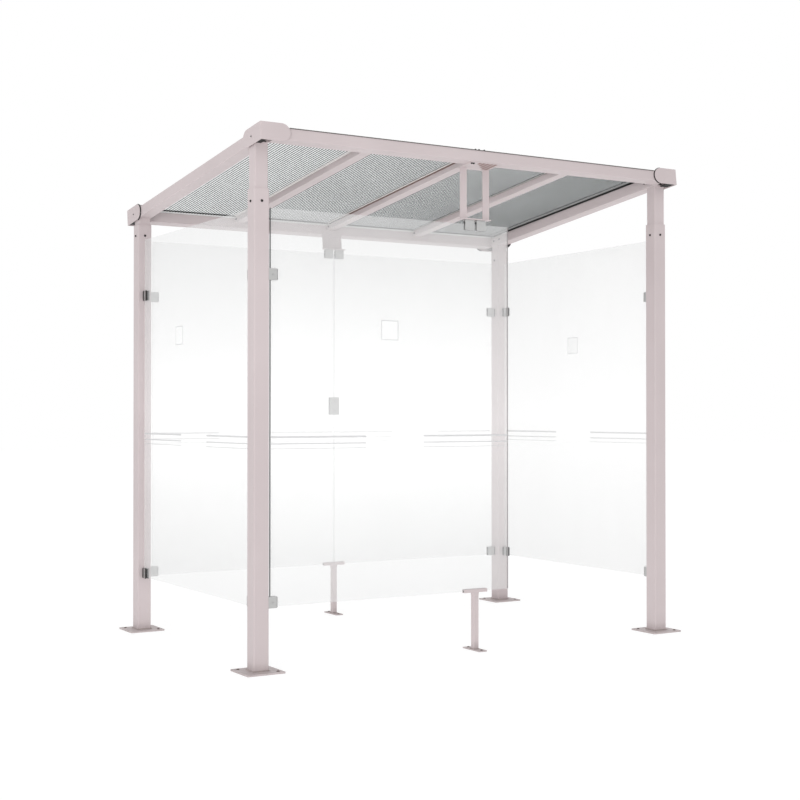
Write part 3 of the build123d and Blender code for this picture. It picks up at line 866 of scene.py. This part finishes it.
# ground anchors and the bolts of the hangers
plateAnchor = {
    "washer": 0.0085, "washerThick": 0.0008, "head": 0.0066, "rim": 0.001, "dome": 0.002,
    "socket": 0.0032, "socketDepth": 0.0018, "hole": 0.072,
}
footAnchor = dict(plateAnchor, washer=0.0072, head=0.0056, socket=0.0024, hole=0.062)
footTop = 0.006
hangerBolt = {
    "washer": 0.009, "washerThick": 0.0016, "nut": 0.0076, "nutHigh": 0.0075, "nutSides": 6,
    "chamfer": 0.001, "stub": 0.0046, "stubHigh": 0.008, "stubSides": 16,
}
hangerColumns = (-0.040, -0.018, 0.015)
hangerHeads = {"columns": (-0.079, -0.067), "run": -0.872, "drop": 0.065}
hangerShade = {
    "x": -0.030, "run": -0.883, "wide": 0.015, "firstLong": 0.022, "thick": 0.0015,
    "step": 0.024, "count": 5, "edge": 0.0003,
}


def plateAnchorPlaces():
    places = []
    for name in cornerSides:
        centre = middle("base_plate_" + name)
        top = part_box("base_plate_" + name)[1].z
        for side in (-1, 1):
            hole = side * plateAnchor["hole"]
            places.append((Vector((centre.x + hole, centre.y - hole, top)), (0, 0, 1)))
    return places


def footAnchorPlaces():
    places = []
    for name in ("stand_front", "stand_rear"):
        centre = middle(name)
        for side in (-1, 1):
            places.append((Vector((centre.x, centre.y + side * footAnchor["hole"], footTop)), (0, 0, 1)))
    return places


def hangerBoltPlaces():
    places = []
    for x in hangerColumns:
        places.append((onRoof(x, beamRun, frameHigh), slopeUp))
    return places


def hangerHeadPlaces():
    up = frameHigh - hangerHeads["drop"]
    return [(onRoof(x, hangerHeads["run"], up), -slopeUp) for x in hangerHeads["columns"]]


anchor = domedScrew(plateAnchor)
spread(anchor, plateAnchorPlaces(), "plateAnchors", footSteel)
discard(anchor)
anchor = domedScrew(footAnchor)
spread(anchor, footAnchorPlaces(), "footAnchors", footSteel)
discard(anchor)
anchor = hexBolt(hangerBolt)
spread(anchor, hangerBoltPlaces(), "hangerBolts", boltSteel)
discard(anchor)
screw = domedScrew(postBolt)
spread(screw, hangerHeadPlaces(), "hangerHeads", boltSteel)
discard(screw)
# stepped pale brown strips under the front hanger, painted shade on its underside
for count in range(hangerShade["count"]):
    size = (hangerShade["wide"], hangerShade["firstLong"] + count * hangerShade["step"], hangerShade["thick"])
    run = hangerShade["run"] + size[1] / 2
    up = frameHigh - hangerHeads["drop"] - hangerShade["thick"] / 2
    x = hangerShade["x"] + count * hangerShade["step"]
    roofBar("pad_hanger_%d" % count, x, run, up, size, hangerShade["edge"], paleBrownShade, "black_rubber")

# weld beads round the feet of the posts and stands
# the beads' darker tone is painted shade at the foot of each post and stand
postBead = {"leg": 0.006, "bite": 0.0005, "cuts": 40, "ripple": 0.0009, "rippleSize": 0.006}
standBead = dict(postBead, leg=0.004, cuts=20, ripple=0.0006, side=0.030)


def weldBead(name, centre, side, low, look):
    clearSelection()
    bpy.ops.mesh.primitive_plane_add(size=side + 2 * look["leg"], location=(centre.x, centre.y, low))
    piece = bpy.context.object
    bpy.ops.object.transform_apply(location=True)
    pickFaces(piece, lambda face: True)
    bpy.ops.mesh.inset(thickness=look["leg"] + look["bite"])
    bpy.ops.transform.translate(value=(0, 0, look["leg"]))
    bpy.ops.mesh.delete(type="ONLY_FACE")
    bpy.ops.mesh.select_all(action="SELECT")
    bpy.ops.mesh.subdivide(number_cuts=look["cuts"])
    bpy.ops.object.mode_set(mode="OBJECT")
    texture = bpy.data.textures.new(name + "Ripple", "CLOUDS")
    texture.noise_scale = look["rippleSize"]
    ripple = piece.modifiers.new("ripple", "DISPLACE")
    ripple.texture = texture
    ripple.strength = look["ripple"]
    ripple.texture_coords = "GLOBAL"
    bpy.ops.object.modifier_apply(modifier="ripple")
    settle(piece, name, beadCoat)


for name in cornerSides:
    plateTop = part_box("base_plate_" + name)[1].z
    side = 2 * halfSize("post_" + name).x
    weldBead("bead_post_" + name, middle("post_" + name), side, plateTop, postBead)
for name in ("stand_front", "stand_rear"):
    weldBead("bead_" + name, middle(name), standBead["side"], footTop, standBead)
print("weld beads laid")

# strips on the upright ends of the front glass and in the seam of the back glass
endStrip = {"wideLeft": 0.0024, "wideRight": 0.0012, "deep": 0.0086, "edge": 0.0003}


def glassEnd(name, panel, x, wide, material):
    low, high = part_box(panel)
    piece = softBar((wide, endStrip["deep"], high.z - low.z), endStrip["edge"], edgeSegments)
    piece.matrix_world = Matrix.Translation((x, (low.y + high.y) / 2, (low.z + high.z) / 2))
    settle(piece, name, material)


frontEnds = [corner.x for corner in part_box("glass_front")]
seamEnds = (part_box("glass_back_left")[1].x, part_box("glass_back_right")[0].x)
wide = endStrip["wideLeft"]
glassEnd("glass_end_left", "glass_front", frontEnds[0] - wide / 2, wide, endRubber)
wide = endStrip["wideRight"]
glassEnd("glass_end_right", "glass_front", frontEnds[1] + wide / 2, wide, paleRubber)
wide = seamEnds[1] - seamEnds[0]
glassEnd("glass_seam", "glass_back_left", sum(seamEnds) / 2, wide, seamSeal)
print("glass ends placed")

# printed bands on the glass
bandRows = {
    "heights": (1.125, 1.092, 1.068), "widths": (0.009, 0.006, 0.003), "thick": 0.0003,
    "inset": 0.004, "gap": 0.17, "edge": 0.0001, "segments": 1,
}
outerSides = {
    "glass_front": -1, "glass_back_left": 1, "glass_back_right": 1,
    "glass_left": -1, "glass_right": 1,
}


def bandPiece(low, high):
    piece = softBar(high - low, bandRows["edge"], bandRows["segments"])
    piece.matrix_world = Matrix.Translation((low + high) / 2)
    return piece


def bandsOn(name, outward):
    low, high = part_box(name)
    along = 0 if high.x - low.x > high.y - low.y else 1
    across = 1 - along
    face = high[across] if outward > 0 else low[across]
    mid = (low[along] + high[along]) / 2
    runs = (
        (low[along] + bandRows["inset"], mid - bandRows["gap"]),
        (mid + bandRows["gap"], high[along] - bandRows["inset"]),
    )
    pieces = []
    for height, width in zip(bandRows["heights"], bandRows["widths"]):
        for start, end in runs:
            first = Vector((0, 0, height - width / 2))
            last = Vector((0, 0, height + width / 2))
            first[along] = start
            last[along] = end
            first[across] = min(face, face + outward * bandRows["thick"])
            last[across] = max(face, face + outward * bandRows["thick"])
            pieces.append(bandPiece(first, last))
    clearSelection()
    for piece in pieces:
        piece.select_set(True)
    bpy.context.view_layer.objects.active = pieces[0]
    bpy.ops.object.join()
    settle(pieces[0], name + "_bands", band)


for name, outward in outerSides.items():
    bandsOn(name, outward)

# plain frosted squares at eye height, each with a thin printed border
square = {
    "size": 0.1, "border": 0.004, "height": 1.66, "thick": 0.0003,
    "frontX": -0.52, "leftY": 0.2, "rightY": 0.0,
}


def frostedSquare(name, place, direction):
    clearSelection()
    bpy.ops.mesh.primitive_plane_add(size=square["size"])
    piece = bpy.context.object
    pickFaces(piece, lambda face: True)
    bpy.ops.mesh.inset(thickness=square["border"])
    bpy.ops.object.mode_set(mode="OBJECT")
    thicken(piece, square["thick"], 1.0)
    turn = Vector(direction).to_track_quat("Z", "Y").to_matrix().to_4x4()
    piece.matrix_world = Matrix.Translation(place) @ turn
    settle(piece, name, border)
    piece.data.materials.append(frost)
    for face in piece.data.polygons:
        if (face.center - place).length < square["size"] / 4:
            face.material_index = 1


place = Vector((square["frontX"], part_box("glass_front")[0].y, square["height"]))
frostedSquare("square_front", place, (0, -1, 0))
place = Vector((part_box("glass_left")[0].x, square["leftY"], square["height"]))
frostedSquare("square_left", place, (-1, 0, 0))
place = Vector((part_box("glass_right")[1].x, square["rightY"], square["height"]))
frostedSquare("square_right", place, (1, 0, 0))
print("bands printed")

# studio: white floor that keeps a faint shadow, even light all round and a weak soft sun
studio = {
    "floor": 80.0, "floorTone": (0.97, 0.97, 0.97, 1.0), "floorRough": 0.9, "floorShow": 0.75,
    "floorLit": 0.62, "floorWhite": 1.1, "white": (1.0, 1.0, 1.0, 1.0), "ambient": 0.64,
    "sunHeight": 6.0,
}


def seenRays(tree):  # 1 for what the camera sees, straight on, in gloss or through glass
    rays = tree.nodes.new("ShaderNodeLightPath")
    seen = rays.outputs["Is Camera Ray"]
    for name in ("Is Glossy Ray", "Is Transmission Ray"):
        either = tree.nodes.new("ShaderNodeMath")
        either.operation = "MAXIMUM"
        tree.links.new(seen, either.inputs[0])
        tree.links.new(rays.outputs[name], either.inputs[1])
        seen = either.outputs["Value"]
    return seen


clearSelection()
bpy.ops.mesh.primitive_plane_add(size=studio["floor"], location=(0, 0, 0))
floor = bpy.context.object
floor.name = "floor"
floorMaterial = bpy.data.materials.new("paleFloor")
floorMaterial.use_nodes = True
floorTree = floorMaterial.node_tree
floorShader = floorTree.nodes["Principled BSDF"]
floorShader.inputs["Base Color"].default_value = studio["floorTone"]
floorShader.inputs["Roughness"].default_value = studio["floorRough"]
floorShader.inputs["Specular IOR Level"].default_value = 0.0
floorWhite = addNode(floorTree, "ShaderNodeEmission", Color=studio["white"], Strength=studio["floorWhite"])
floorShare = rangeOf(floorTree, seenRays(floorTree), 0.0, 1.0, studio["floorLit"], studio["floorShow"])
floorWhole = shaderMix(floorTree, floorShare, floorShader.outputs["BSDF"], floorWhite.outputs["Emission"])
floorTree.links.new(floorWhole, floorTree.nodes["Material Output"].inputs["Surface"])
floor.data.materials.append(floorMaterial)

world = bpy.context.scene.world or bpy.data.worlds.new("studioWorld")
bpy.context.scene.world = world
world.use_nodes = True
worldTree = world.node_tree
ambient = worldTree.nodes["Background"]
ambient.inputs["Color"].default_value = studio["white"]
ambient.inputs["Strength"].default_value = studio["ambient"]
white = addNode(worldTree, "ShaderNodeBackground", Color=studio["white"], Strength=1.0)
surround = shaderMix(
    worldTree, seenRays(worldTree), ambient.outputs["Background"], white.outputs["Background"]
)
worldTree.links.new(surround, worldTree.nodes["World Output"].inputs["Surface"])

suns = {
    "topSun": {"strength": 0.36, "turn": (0.0, 0.0, 0.0), "angle": 80.0},
    "frontSun": {"strength": 0.12, "turn": (62.0, 0.0, -14.0), "angle": 50.0},
}
for name, look in suns.items():
    turn = [math.radians(a) for a in look["turn"]]
    bpy.ops.object.light_add(type="SUN", location=(0, 0, studio["sunHeight"]), rotation=turn)
    sun = bpy.context.object
    sun.name = name
    sun.data.energy = look["strength"]
    sun.data.angle = math.radians(look["angle"])
lowFill = {"place": (-8.5, -8.5, 0.5), "aim": (0.6, 0.2, 2.3), "watts": 560.0, "size": 4.0}
aim = Vector(lowFill["aim"]) - Vector(lowFill["place"])
turn = aim.to_track_quat("-Z", "Y").to_euler()
bpy.ops.object.light_add(type="AREA", location=lowFill["place"], rotation=turn)
fill = bpy.context.object
fill.name = "lowFill"
fill.data.energy = lowFill["watts"]
fill.data.size = lowFill["size"]
fill.visible_camera = False
fill.visible_glossy = False
print("studio lit")
